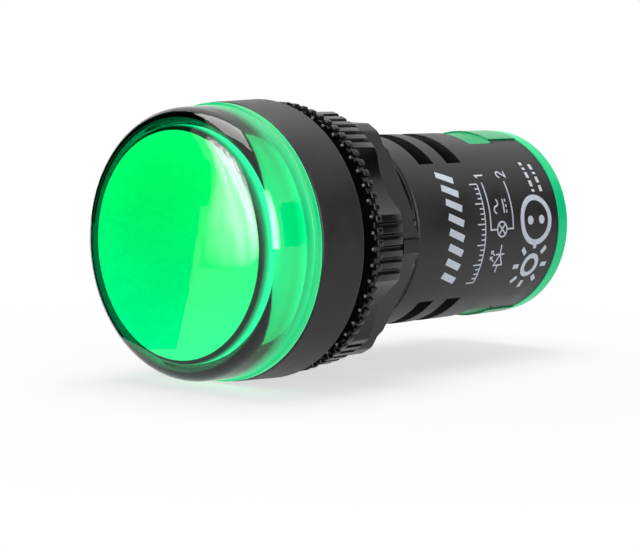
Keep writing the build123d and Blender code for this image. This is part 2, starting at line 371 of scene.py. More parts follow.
@dataclass(frozen=True)
class LitPlastic(Finish):
    """Milky plastic that the light behind it makes glow, with painted shade on its flange and on
    the front edge of its side.
    """

    upper: Colour = (0.0, 1.0, 0.31)
    lower: Colour = (0.0, 1.0, 0.62)
    fade_heights: Point = (-9.0, 6.0)
    side: Colour = (0.0, 1.15, 0.75)
    side_stations: Point = (-11.9, -10.2)
    # Painted shade: colour of the flange and of the side's front edge, which do not glow.
    dark: Colour = (0.0, 0.006, 0.003)
    power: float = 2.35
    centre_gain: float = 1.4
    cloud_size: float = 7.0
    cloud_range: Point = (0.35, 0.65)
    cloud_shade: float = 0.96
    disc_radius: float = 11.6
    flange_radius: float = 12.0
    roughness: float = 0.4
    mottle: float = 0.1
    mottle_size: float = 0.5
    gloss: float = 0.2

    def build(self, shader: Shader) -> bpy.types.Material:
        """Add the finish's nodes.

        Args:
            shader: The empty material.

        Returns:
            The material.
        """
        radius = shader.radius()
        centre = (radius * radius).ramp(0.0, self.disc_radius ** 2, self.centre_gain, 1.0)
        cloud = shader.noise(self.cloud_size).ramp(*self.cloud_range, self.cloud_shade, 1.0)
        face = shader.mix(shader.axis("Z").ramp(*self.fade_heights), self.lower, self.upper)
        face = shader.value("ShaderNodeVectorMath", {"operation": "SCALE"}, {
            0: face, "Scale": cloud * centre})
        beyond = radius > self.disc_radius
        glow = shader.mix(beyond, face, self.side)
        # Painted shade on the side's front edge, fading out towards the rear, and on the flange.
        painted_side_shade = beyond * shader.axis("Y").ramp(*self.side_stations, 1.0, 0.0)
        shade = painted_side_shade.math("MAXIMUM", radius > self.flange_radius)
        return shader.principled({
            "Base Color": shader.mix(shade, self.lower, self.dark),
            "Roughness": shader.noise(self.mottle_size) * self.mottle + self.roughness,
            "Specular IOR Level": self.gloss,
            "Emission Color": shader.mix(shade, glow, self.dark), "Emission Strength": self.power})


@dataclass(frozen=True)
class MouldedPlastic(Finish):
    """Opaque moulded plastic with a spark-eroded grain. Its rear rim may carry a painted glow."""

    colour: Colour = (0.024, 0.0225, 0.0245)
    variation: float = 0.3
    blotch_size: float = 5.0
    blotch_range: Point = (0.3, 0.7)
    roughness: float = 0.4
    uneven: float = 0.06
    gloss: float = 0.28
    grain_size: float = 0.12
    grain_rough: float = 0.05
    depth: float = 0.01
    # Painted glow on the rear rim: an emission colour that no lamp lights.
    lit: Colour = BLACK
    painted_glow_radii: Point = (8.6, 10.4)
    painted_glow_front: float = 38.35

    def build(self, shader: Shader) -> bpy.types.Material:
        """Add the finish's nodes.

        Args:
            shader: The empty material.

        Returns:
            The material.
        """
        blotch = shader.noise(self.blotch_size, 4.0)
        grain = shader.noise(self.grain_size, 3.0)
        deep = shaded(self.colour, 1 - self.variation)
        pale = shaded(self.colour, 1 + self.variation)
        rough = blotch.ramp(*self.blotch_range, self.roughness - self.uneven,
                            self.roughness + self.uneven)
        inputs = {
            "Base Color": shader.mix(blotch.ramp(*self.blotch_range), deep, pale),
            "Roughness": rough + grain * self.grain_rough, "Specular IOR Level": self.gloss,
            "Normal": shader.bump(grain, self.depth)}
        # Painted glow on the outer part of the rear rim.
        if any(self.lit):
            rim = shader.radius().ramp(*self.painted_glow_radii) * (shader.axis("Y") > self.painted_glow_front)
            inputs["Emission Color"] = shader.mix(rim, BLACK, self.lit)
            inputs["Emission Strength"] = 1.0
        return shader.principled(inputs)


@dataclass(frozen=True)
class GlintPaintedPlastic(Finish):
    """Smooth plastic with a pale painted glint in front of a station."""

    colour: Colour = (0.01, 0.01, 0.011)
    roughness: float = 0.25
    painted_glint: Colour = (0.8, 0.8, 0.8)
    painted_glint_front: float = 2.11

    def build(self, shader: Shader) -> bpy.types.Material:
        """Add the finish's nodes."""
        # Painted glint: pale colour in front of the station.
        colour = shader.mix(shader.axis("Y") < self.painted_glint_front, self.colour, self.painted_glint)
        return shader.principled({"Base Color": colour, "Roughness": self.roughness})


@dataclass(frozen=True)
class Metal(Finish):
    """Plated or bare metal with fine tool marks and dull stains."""

    colour: Colour = (0.72, 0.71, 0.68)
    dull: float = 0.8
    roughness: float = 0.25
    mark_size: float = 0.12
    mark_stretch: Corner = (0.15, 1.0, 1.0)
    mark_rough: float = 0.15
    mark_depth: float = 0.006
    stain_size: float = 1.6
    stain_range: Point = (0.35, 0.7)
    stain_rough: float = 0.1

    def build(self, shader: Shader) -> bpy.types.Material:
        """Add the finish's nodes.

        Args:
            shader: The empty material.

        Returns:
            The material.
        """
        marks = shader.noise(self.mark_size, 3.0, self.mark_stretch)
        stain = shader.noise(self.stain_size, 3.0).ramp(*self.stain_range)
        return shader.principled({
            "Base Color": shader.mix(stain, self.colour, shaded(self.colour, self.dull)),
            "Metallic": 1.0,
            "Roughness": marks * self.mark_rough + stain * self.stain_rough + self.roughness,
            "Normal": shader.bump(marks, self.mark_depth)})


@dataclass(frozen=True)
class Laminate(Finish):
    """Circuit board with a green mask and dark tracks under it."""

    mask: Colour = (0.01, 0.12, 0.035)
    track: Colour = (0.03, 0.24, 0.07)
    track_pitch: float = 1.6
    track_share: Point = (0.3, 0.62)
    track_depth: float = 0.03
    bend: float = 3.0
    bend_size: float = 3.5
    roughness: float = 0.3
    mottle: float = 0.15
    mottle_size: float = 0.4

    def build(self, shader: Shader) -> bpy.types.Material:
        """Add the finish's nodes.

        Args:
            shader: The empty material.

        Returns:
            The material.
        """
        bends = shader.noise(self.bend_size, 0.0) * self.bend
        lanes = ((shader.axis("X") + bends) / self.track_pitch).math("FRACT")
        low, high = self.track_share
        track = (lanes > low) * (lanes < high)
        return shader.principled({
            "Base Color": shader.mix(track, self.mask, self.track),
            "Roughness": shader.noise(self.mottle_size) * self.mottle + self.roughness,
            "Normal": shader.bump(track, self.track_depth)})


@dataclass(frozen=True)
class Ink(Finish):
    """Matt pale ink, a little uneven as a pad leaves it, with a faint painted glow that makes it
    brighter than the lamps light it.
    """

    colour: Colour = (0.8, 0.88, 1.0)
    thin: float = 0.82
    speck_size: float = 0.35
    speck_range: Point = (0.3, 0.55)
    speck_rough: float = 0.1
    roughness: float = 0.5
    # Painted glow: emission strength that brightens the ink.
    painted_glow_strength: float = 0.16

    def build(self, shader: Shader) -> bpy.types.Material:
        """Add the finish's nodes.

        Args:
            shader: The empty material.

        Returns:
            The material.
        """
        cover = shader.noise(self.speck_size, 3.0).ramp(*self.speck_range)
        # The emission is a painted glow in the ink's own colour.
        return shader.principled({
            "Base Color": shader.mix(cover, shaded(self.colour, self.thin), self.colour),
            "Roughness": cover * self.speck_rough + self.roughness,
            "Emission Color": opaque(self.colour), "Emission Strength": self.painted_glow_strength})


# The lens's side wall carries a painted green glow.
LENS_CLEAR = ClearPlastic("lens_clear", Slot.LENS, tint=(0.6, 1.0, 0.85), strength=4500.0,
                          glow=(0.0, 0.6, 0.2))
DIFFUSER_LIT = LitPlastic("diffuser_lit", Slot.DIFFUSER)
MOULDING_BLACK = MouldedPlastic("moulding_black", Slot.MOULDING)
NUT_BLACK = MouldedPlastic("nut_black", Slot.NUT, colour=(0.013, 0.0125, 0.0145), roughness=0.22,
                           depth=0.005)
# The pips' tips carry painted glints.
PIP_PAINTED_GLINT = GlintPaintedPlastic("pip_painted_glint", Slot.NUT)
SEAL_RUBBER = MouldedPlastic("seal_rubber", Slot.RUBBER, colour=(0.018, 0.018, 0.018),
                             roughness=0.75)
# The base's rear rim carries a painted green glow.
BASE_GREEN = MouldedPlastic("base_green", Slot.BASE, colour=(0.0, 0.5, 0.17), variation=0.08,
                            roughness=0.3, gloss=0.25, depth=0.004, lit=(0.0, 0.32, 0.13))
COMPONENT_BLACK = MouldedPlastic("component_black", Slot.COMPONENT, colour=(0.025, 0.025, 0.027))
CAPACITOR_SLEEVE = MouldedPlastic("capacitor_sleeve", Slot.CAPACITOR, colour=(0.02, 0.035, 0.12),
                                  roughness=0.3)
RESISTOR_COAT = MouldedPlastic("resistor_coat", Slot.RESISTOR, colour=(0.55, 0.42, 0.25),
                               roughness=0.35)
LED_RESIN = ClearPlastic("led_resin", Slot.LED, tint=(0.7, 1.0, 0.8), index=1.52)
BOARD_LAMINATE = Laminate("board_laminate", Slot.BOARD)
PIN_METAL = Metal("pin_metal", Slot.PIN, colour=(0.83, 0.68, 0.36))
BRASS = Metal("terminal_brass", Slot.BRASS, colour=(0.8, 0.6, 0.28))
STEEL = Metal("plated_steel", Slot.STEEL)
PRINT_INK = Ink("print_ink", Slot.MOULDING)


def spot(radius: float, angle: float, station: float) -> Vector:
    """Point at a radius, an angle in degrees and a station, in metres."""
    turn = radians(angle)
    return Vector((radius * cos(turn), station, radius * sin(turn))) * MM


def rounded(corners: Sequence[Corner], steps: int = 5) -> list[Point]:
    """Outline with its corners rounded.

    Args:
        corners: (radius, station, rounding) of each corner. A rounding of 0 keeps it sharp.
        steps: Number of chords in a rounding.

    Returns:
        The outline's (radius, station) points.
    """
    outline: list[Point] = []
    for place, (radius, station, size) in enumerate(corners):
        here = Vector((radius, station))
        if not size:
            outline.append((radius, station))
            continue
        before = (Vector(corners[place - 1][:2]) - here).normalized()
        after = (Vector(corners[(place + 1) % len(corners)][:2]) - here).normalized()
        half = acos(max(-1.0, min(1.0, before.dot(after)))) / 2
        middle = here + (before + after).normalized() * (size / sin(half))
        first = here + before * (size / (sin(half) / cos(half)))
        last = here + after * (size / (sin(half) / cos(half)))
        start, end = first - middle, last - middle
        sweep = start.angle_signed(end)
        for step in range(steps + 1):
            spoke = start.copy()
            spoke.rotate(Matrix.Rotation(-sweep * step / steps, 2))
            outline.append(tuple(middle + spoke))
    return outline


class Piece:
    """A mesh under construction, and the object that it becomes."""

    def __init__(self, name: str) -> None:
        """Start an empty mesh."""
        self.name = name
        self.mesh = bmesh.new()

    def ring(self, count: int, outline: Outline, station: float,
             first: float = 0.0) -> list[bmesh.types.BMVert]:
        """Add a ring of vertices about the lamp's axis.

        Args:
            count: Number of vertices.
            outline: Radius, or a function that gives it for an angle in degrees.
            station: Place along the axis.
            first: Angle of the first vertex, in degrees.

        Returns:
            The ring's vertices in order.
        """
        row = []
        for step in range(count):
            angle = first + 360 * step / count
            radius = outline(angle) if callable(outline) else outline
            row.append(self.mesh.verts.new(spot(radius, angle, station)))
        return row

    def skin(self, first: Vertices, second: Vertices, closed: bool = True) -> None:
        """Join two rows of as many vertices with quads.

        Args:
            first: The first row.
            second: The second row.
            closed: Whether the rows are rings.
        """
        count = len(first)
        for step in range(count if closed else count - 1):
            after = (step + 1) % count
            self.mesh.faces.new((first[step], first[after], second[after], second[step]))

    def turned(self, outline: Sequence[Point], count: int = 144) -> None:
        """Add a solid turned from an outline.

        Args:
            outline: (radius, station) points. An outline that starts and ends on the axis is
                closed with a point at each end, and any other is closed as a ring.
            count: Number of vertices round.
        """
        solid = outline[0][0] == 0
        inner = outline[1:-1] if solid else outline
        rings = [self.ring(count, radius, station) for radius, station in inner]
        for before, after in zip(rings, rings[1:]):
            self.skin(before, after)
        if not solid:
            self.skin(rings[-1], rings[0])
            return
        for pole, row in ((outline[0], rings[0]), (outline[-1], rings[-1])):
            tip = self.mesh.verts.new(spot(0, 0, pole[1]))
            for step in range(count):
                self.mesh.faces.new((row[step], row[(step + 1) % count], tip))

    def prism(self, outline: Sequence[Vector], shift: Vector) -> None:
        """Add a prism.

        Args:
            outline: Corners of its flat foot, in metres.
            shift: Way from its foot to its top, in millimetres.
        """
        low = [self.mesh.verts.new(point) for point in outline]
        high = [self.mesh.verts.new(point + shift * MM) for point in outline]
        self.skin(low, high)
        self.mesh.faces.new(low)
        self.mesh.faces.new(high)

    def finish(self, finish: Finish, sharp: float = SHARP_ANGLE) -> bpy.types.Object:
        """Turn the mesh into an object in the scene.

        Args:
            finish: The surface finish.
            sharp: Edges over this angle in degrees stay sharp.

        Returns:
            The object, at the origin.
        """
        bmesh.ops.recalc_face_normals(self.mesh, faces=self.mesh.faces[:])
        data = bpy.data.meshes.new(self.name)
        self.mesh.to_mesh(data)
        self.mesh.free()
        data.shade_smooth()
        data.set_sharp_from_angle(angle=radians(sharp))
        data.materials.append(finish.material())
        return placed(self.name, data)


def placed(name: str, data: bpy.types.ID) -> bpy.types.Object:
    """Add an object to the scene.

    Args:
        name: Its name.
        data: Its mesh, camera or lamp.

    Returns:
        The object, at the origin.
    """
    made = bpy.data.objects.new(name, data)
    bpy.context.scene.collection.objects.link(made)
    return made


def bake(made: bpy.types.Object) -> None:
    """Replace an object's mesh by its modifiers' result and remove them.

    Args:
        made: The object.
    """
    depsgraph = bpy.context.evaluated_depsgraph_get()
    evaluated = made.evaluated_get(depsgraph)
    result = bpy.data.meshes.new_from_object(evaluated, depsgraph=depsgraph)
    made.modifiers.clear()
    made.data = result
    result.name = made.name


def discard(made: bpy.types.Object) -> None:
    """Remove an object and its mesh.

    Args:
        made: The object.
    """
    data = made.data
    bpy.data.objects.remove(made)
    bpy.data.meshes.remove(data)


def carve(made: bpy.types.Object, cutter: bpy.types.Object) -> None:
    """Cut one object out of another, and remove it.

    Args:
        made: The object to cut.
        cutter: The object that is cut out of it.
    """
    cut = made.modifiers.new("cut", "BOOLEAN")
    cut.operation = "DIFFERENCE"
    cut.solver = "EXACT"
    cut.object = cutter
    bake(made)
    discard(cutter)


def join(made: bpy.types.Object, other: bpy.types.Object) -> None:
    """Add another object's mesh to an object's, and remove the other.

    Args:
        made: The object that grows.
        other: The object that goes into it.
    """
    merged = bmesh.new()
    merged.from_mesh(made.data)
    merged.from_mesh(other.data)
    merged.to_mesh(made.data)
    merged.free()
    discard(other)


def soften(made: bpy.types.Object, width: float) -> None:
    """Round a mesh's sharp edges, and keep the faces beside them flat.

    Args:
        made: The object.
        width: Width of the rounding in millimetres.
    """
    bevel = made.modifiers.new("edges", "BEVEL")
    bevel.width = width * MM
    bevel.segments = 2
    bevel.limit_method = "ANGLE"
    bevel.angle_limit = radians(SHARP_ANGLE)
    made.data.shade_smooth()
    shade = made.modifiers.new("shade", "WEIGHTED_NORMAL")
    shade.keep_sharp = False
    bake(made)


def dress(made: bpy.types.Object, body: Body, slot: Slot, *nodes: str) -> None:
    """Hang a finished piece on its body, and hide the frame's nodes that it stands for.

    Args:
        made: The piece.
        body: Body that it rides on.
        slot: Its material slot. Not used.
        nodes: The frame's nodes that it stands for.
    """
    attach(made, body.value)
    if nodes:
        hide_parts(*nodes)
    LOG.info("%s rides on %s with %d faces", made.name, body.value, len(made.data.polygons))


def softened_node(node: str, body: Body, finish: Finish, width: float,
                  reshape: Callable[[Vector], Vector] | None = None) -> None:
    """Replace a frame node by a copy with rounded edges.

    Args:
        node: The node's name.
        body: Body that it rides on.
        finish: Its finish.
        width: Width of the rounding in millimetres.
        reshape: Gives the new place of each vertex of the copy.
    """
    piece = Piece(f"{node}_dressed")
    mesh = piece.mesh
    mesh.from_mesh(bpy.data.objects[node].data)
    if reshape:
        for vertex in mesh.verts:
            vertex.co = reshape(vertex.co)
    bmesh.ops.remove_doubles(mesh, verts=mesh.verts[:], dist=WELD_GAP * MM)
    bmesh.ops.dissolve_limit(mesh, angle_limit=radians(FLAT_ANGLE), verts=mesh.verts[:],
                             edges=mesh.edges[:])
    made = piece.finish(finish)
    soften(made, width)
    dress(made, body, finish.slot, node)


def paint_node(node: str, finish: Finish) -> None:
    """Give a frame node a finish.

    Args:
        node: The node's name.
        finish: Its finish.
    """
    data = bpy.data.objects[node].data
    data.materials.clear()
    data.materials.append(finish.material())
    LOG.info("%s takes %s", node, finish.name)


class GeometryTree(Graph):
    """A Geometry Nodes tree with named inputs that ends in one material."""

    def __init__(self, name: str, sizes: Mapping[str, str]) -> None:
        """Start a tree.

        Args:
            name: The tree's name.
            sizes: Type of each named input, such as NodeSocketFloat.
        """
        super().__init__(bpy.data.node_groups.new(name, "GeometryNodeTree"))
        face = self.tree.interface
        face.new_socket("Geometry", in_out="INPUT", socket_type="NodeSocketGeometry")
        for size, kind in {**sizes, "Material": "NodeSocketMaterial"}.items():
            face.new_socket(size, in_out="INPUT", socket_type=kind)
        face.new_socket("Geometry", in_out="OUTPUT", socket_type="NodeSocketGeometry")
        self.entry = self.node("NodeGroupInput")
        self.exit = self.node("NodeGroupOutput")

    def given(self, name: str) -> Value:
        """A named input's value."""
        return Value(self, self.entry.outputs[name])

    def close(self, shape: Value) -> None:
        """End the tree in Realize Instances and Set Material.

        Args:
            shape: The finished geometry.
        """
        real = self.value("GeometryNodeRealizeInstances", inputs={0: shape})
        painted = self.value("GeometryNodeSetMaterial", inputs={
            "Geometry": real, "Material": self.given("Material")})
        self.feed(self.exit.inputs[0], painted)

    def apply(self, made: bpy.types.Object, finish: Finish,
              sizes: Mapping[str, float | int]) -> None:
        """Run the tree on an object and keep its result as a plain mesh.

        Args:
            made: The object.
            finish: The finish of the result.
            sizes: Value of each named input.
        """
        modifier = made.modifiers.new(self.tree.name, "NODES")
        modifier.node_group = self.tree
        given = {**sizes, "Material": finish.material()}
        for item in self.tree.interface.items_tree:
            if item.in_out == "INPUT" and item.name in given:
                modifier[item.identifier] = given[item.name]
        bake(made)


class RingTree(GeometryTree):
    """Repeats a piece round the lamp's axis."""

    def __init__(self) -> None:
        """Build the tree."""
        super().__init__("ring_pattern", {
            "Count": "NodeSocketInt", "First Turn": "NodeSocketFloat",
            "Step Turn": "NodeSocketFloat"})
        index = self.value("GeometryNodeInputIndex")
        turn = self.given("First Turn") + index * self.given("Step Turn")
        spin = self.value("ShaderNodeCombineXYZ", inputs={1: 0.0 - turn})
        points = self.value("GeometryNodePoints", inputs={"Count": self.given("Count")})
        self.close(self.value("GeometryNodeInstanceOnPoints", inputs={
            "Points": points, "Instance": self.given("Geometry"), "Rotation": spin}))


class ThreadTree(GeometryTree):
    """A screw thread's ridge about the lamp's axis."""

    columns: int = 96
    sides: int = 4

    def __init__(self) -> None:
        """Build the tree."""
        sizes = ("Root Radius", "Height", "Turns", "Length", "Front")
        super().__init__("thread_ridge", dict.fromkeys(sizes, "NodeSocketFloat"))
        helix = self.value("GeometryNodeCurveSpiral", inputs={
            "Resolution": self.columns, "Rotations": self.given("Turns"),
            "Start Radius": self.given("Root Radius"), "End Radius": self.given("Root Radius"),
            "Height": self.given("Length")})
        section = self.value("GeometryNodeCurvePrimitiveCircle", inputs={
            "Resolution": self.sides, "Radius": self.given("Height")})
        upright = self.value("GeometryNodeSetCurveNormal", {"mode": "Z_UP"}, {"Curve": helix})
        ridge = self.value("GeometryNodeCurveToMesh", inputs={
            "Curve": upright, "Profile Curve": section, "Fill Caps": True})
        shift = self.value("ShaderNodeCombineXYZ", inputs={1: self.given("Front")})
        self.close(self.value("GeometryNodeTransform", inputs={
            "Geometry": ridge, "Translation": shift, "Rotation": (-pi / 2, 0.0, 0.0)}))


class WrapTree(GeometryTree):
    """Wraps a flat print round the shell: x goes round, y along the axis and z outwards."""

    def __init__(self) -> None:
        """Build the tree."""
        super().__init__("shell_wrap", {"Shell Radius": "NodeSocketFloat"})
        flat = self.node("ShaderNodeSeparateXYZ", inputs={
            0: self.value("GeometryNodeInputPosition")})
        across, along, out = (Value(self, socket) for socket in flat.outputs)
        reach = self.given("Shell Radius") + out
        turn = across / self.given("Shell Radius")
        place = self.value("ShaderNodeCombineXYZ", inputs={
            0: reach * turn.math("COSINE"), 1: along, 2: reach * turn.math("SINE")})
        self.close(self.value("GeometryNodeSetPosition", inputs={
            "Geometry": self.given("Geometry"), "Position": place}))


@dataclass
class LensUnit:
    """Clear cap over the lit diffuser."""

    front: float = -13.5
    crown: float = 0.45
    crown_steps: int = 12
    round_steps: int = 8
    columns: int = 160
    wall: float = 1.3
    side_wall: float = 1.1
    edge_round: float = 2.7
    inner_round: float = 0.9
    fine_round: float = 0.12
    radius: float = 13.9
    skirt_radius: float = 14.2
    rim_radius: float = 14.42
    rim_front: float = -7.0
    rim_step: float = 0.1
    seat: float = -6.15
    spigot_radius: float = 13.15
    spigot_bore: float = 12.2
    spigot_end: float = -3.6
    shelf: float = 1.0
    shelf_round: float = 0.4
    diffuser_radius: float = 11.9
    diffuser_wall: float = 0.8
    diffuser_round: float = 0.4
    diffuser_gap: float = 0.06
    flange_radius: float = 12.8
    flange_rear: float = -2.8
    flange_round: float = 0.1
    root_round: float = 0.2

    def cap(self) -> bpy.types.Object:
        """Make the clear cap.

        Returns:
            The cap.
        """
        inner = self.radius - self.side_wall
        face = self.radius - self.edge_round
        reaches = [face * step / self.crown_steps for step in range(self.crown_steps)]
        crown = [(reach, self.front + self.crown * (reach / self.radius) ** 2, 0)
                 for reach in reaches]
        edge = self.fine_round / 2
        outline = rounded([
            *crown, (self.radius, self.front + self.crown, self.edge_round),
            (self.skirt_radius, self.rim_front, self.fine_round),
            (self.rim_radius, self.rim_front + self.rim_step, edge),
            (self.rim_radius, self.seat, edge), (self.spigot_radius, self.seat, edge),
            (self.spigot_radius, self.spigot_end, self.fine_round),
            (self.spigot_bore, self.spigot_end, self.fine_round),
            (self.spigot_bore, self.seat, self.shelf_round),
            (inner, self.seat - self.shelf, self.shelf_round),
            (inner, self.front + self.wall, self.inner_round),
            (0, self.front + self.wall, 0)], self.round_steps)
        piece = Piece("lens_cap_clear")
        piece.turned(outline, self.columns)
        return piece.finish(LENS_CLEAR)

    def diffuser(self) -> bpy.types.Object:
        """Make the lit cup.

        Returns:
            The cup.
        """
        front = self.front + self.wall + self.diffuser_gap
        inner = self.diffuser_radius - self.diffuser_wall
        outline = rounded([
            (0, front, 0), (self.diffuser_radius, front, self.diffuser_round),
            (self.diffuser_radius, self.spigot_end, self.root_round),
            (self.flange_radius, self.spigot_end, self.flange_round),
            (self.flange_radius, self.flange_rear, self.flange_round),
            (inner, self.flange_rear, self.flange_round),
            (inner, front + self.diffuser_wall, self.diffuser_round),
            (0, front + self.diffuser_wall, 0)])
        piece = Piece("diffuser_lit")
        piece.turned(outline)
        return piece.finish(DIFFUSER_LIT)

    def build(self) -> None:
        """Make and dress the pieces."""
        dress(self.cap(), Body.LAMP, Slot.LENS, "lens_cap")
        dress(self.diffuser(), Body.LAMP, Slot.DIFFUSER, "diffuser")


@dataclass
class Housing:
    """Bezel, threaded barrel and vented shell, moulded in one."""

    bezel_front: float = -6.15
    bezel_bore: float = 13.2
    bezel_front_radius: float = 14.5
    bezel_radius: float = 14.75
    bezel_bevel: float = 0.3
    bezel_rounds: Point = (0.3, 0.25)
    recess_radius: float = 13.35
    recess: float = 0.6
    barrel_radius: float = 10.85
    thread_root: float = 10.4
    thread_front: float = 1.0
    thread_end: float = 12.4
    thread_pitch: float = 1.5
    lead_in: float = 0.3
    collar_end: float = 12.6
    undercut_end: float = 13.2
    undercut_radius: float = 10.35
    shell_radius: float = 10.7
    shell_bevel: float = 0.15
    bore_radius: float = 9.5
    shell_end: float = 38.4
    web_front: float = -1.6
    vent_stations: Point = (16.9, 21.7)
    vent_width: float = 2.5
    vent_half_angle: float = 45.0
    window_front: float = 29.0
    window_rear: float = 33.5
    window_half_angle: float = 27.2
    notch_half_angle: float = 23.9
    cut_steps: int = 12
    cut_margin: float = 1.0
    rail_stations: Point = (1.0, 26.0)
    rail_reach: float = 8.0
    rail_root: float = 0.3
    rail_heights: Point = (0.8, 1.6)
    lip: float = 0.1
    fine: float = 0.05
    edge: float = 0.12
    round_steps: int = 3
    columns: int = 180

    def wall(self) -> Piece:
        """Turn the bezel, barrel and shell, without their openings.

        Returns:
            The piece.
        """
        barrel, root, shell = self.barrel_radius, self.thread_root, self.shell_radius
        lip, fine = self.lip, self.fine
        front_round, rear_round = self.bezel_rounds
        piece = Piece("housing_moulding")
        piece.turned(rounded([
            (self.bezel_bore, self.web_front, 0), (self.bezel_bore, self.bezel_front, lip),
            (self.bezel_front_radius, self.bezel_front, front_round),
            (self.bezel_radius, -self.bezel_bevel, rear_round),
            (self.bezel_radius - self.bezel_bevel, 0, lip), (self.recess_radius, 0, fine),
            (self.recess_radius, -self.recess, 0), (barrel, -self.recess, 0),
            (barrel, self.thread_front - self.lead_in, fine), (root, self.thread_front, 0),
            (root, self.thread_end, 0), (barrel, self.thread_end + fine, fine),
            (barrel, self.collar_end + lip, fine),
            (self.undercut_radius, self.collar_end + 2 * lip, 0),
            (self.undercut_radius, self.undercut_end, 0),
            (shell - self.shell_bevel, self.undercut_end, fine),
            (shell, self.undercut_end + self.shell_bevel, fine), (shell, self.shell_end, 0),
            (self.bore_radius, self.shell_end, 0),
            (self.bore_radius, self.web_front, 0)], self.round_steps), self.columns)
        return piece

    def cutter(self, cuts: Sequence[Corner]) -> bpy.types.Object:
        """Make a solid that cuts through the shell's wall at the top and the bottom.

        Args:
            cuts: (front station, rear station, half angle) of each opening.

        Returns:
            The solid.
        """
        piece = Piece("shell_cutter")
        inner, outer = self.bore_radius - self.cut_margin, self.shell_radius + self.cut_margin
        shares = [2 * step / self.cut_steps - 1 for step in range(self.cut_steps + 1)]
        for top in (90.0, 270.0):
            for front, rear, half in cuts:
                angles = [top + half * share for share in shares]
                outline = [spot(outer, angle, front) for angle in angles]
                outline += [spot(inner, angle, front) for angle in reversed(angles)]
                piece.prism(outline, Vector((0, rear - front, 0)))
        return piece.finish(MOULDING_BLACK)

    def ledges(self) -> bpy.types.Object:
        """Make the four ledges that carry the driver board.

        Returns:
            The ledges.
        """
        piece = Piece("board_ledges")
        low, high = self.rail_heights
        front, rear = self.rail_stations
        root = self.bore_radius + self.rail_root
        corners = ((self.rail_reach, low), (root, low), (root, high), (self.rail_reach, high))
        for side in (-1, 1):
            for way in (-1, 1):
                outline = [Vector((side * across, front, way * height)) * MM
                           for across, height in corners]
                piece.prism(outline, Vector((0, rear - front, 0)))
        return piece.finish(MOULDING_BLACK)

    def body(self) -> bpy.types.Object:
        """Make the moulding with its openings and ledges.

        Returns:
            The moulding.
        """
        made = self.wall().finish(MOULDING_BLACK)
        openings = [(front, front + self.vent_width, self.vent_half_angle)
                    for front in self.vent_stations]
        openings.append((self.window_front, self.window_rear, self.window_half_angle))
        notch = (self.window_rear - self.lip, self.shell_end + self.cut_margin,
                 self.notch_half_angle)
        for cuts in (openings, [notch]):
            carve(made, self.cutter(cuts))
        join(made, self.ledges())
        soften(made, self.edge)
        return made

    def thread(self) -> bpy.types.Object:
        """Make the barrel's thread ridge.

        Returns:
            The ridge.
        """
        made = Piece("barrel_thread").finish(MOULDING_BLACK)
        length = self.thread_end - self.thread_front
        ThreadTree().apply(made, MOULDING_BLACK, {
            "Root Radius": self.thread_root * MM,
            "Height": (self.barrel_radius - self.thread_root) * MM,
            "Turns": length / self.thread_pitch, "Length": length * MM,
            "Front": self.thread_front * MM})
        return made

    def build(self) -> None:
        """Make and dress the pieces."""
        dress(self.body(), Body.LAMP, Slot.MOULDING, "housing")
        dress(self.thread(), Body.LAMP, Slot.MOULDING)


@dataclass
class Seal:
    """Soft ring in the bezel's rear recess."""

    front: float = -0.6
    rear: float = 0.3
    radius: float = 13.3
    bore: float = 10.95
    edge: float = 0.25

    def build(self) -> None:
        """Make and dress the ring."""
        piece = Piece("panel_seal")
        piece.turned(rounded([
            (self.bore, self.front, 0), (self.radius, self.front, 0),
            (self.radius, self.rear, self.edge), (self.bore, self.rear, self.edge)]))
        dress(piece.finish(SEAL_RUBBER), Body.LAMP, Slot.RUBBER, "gasket")


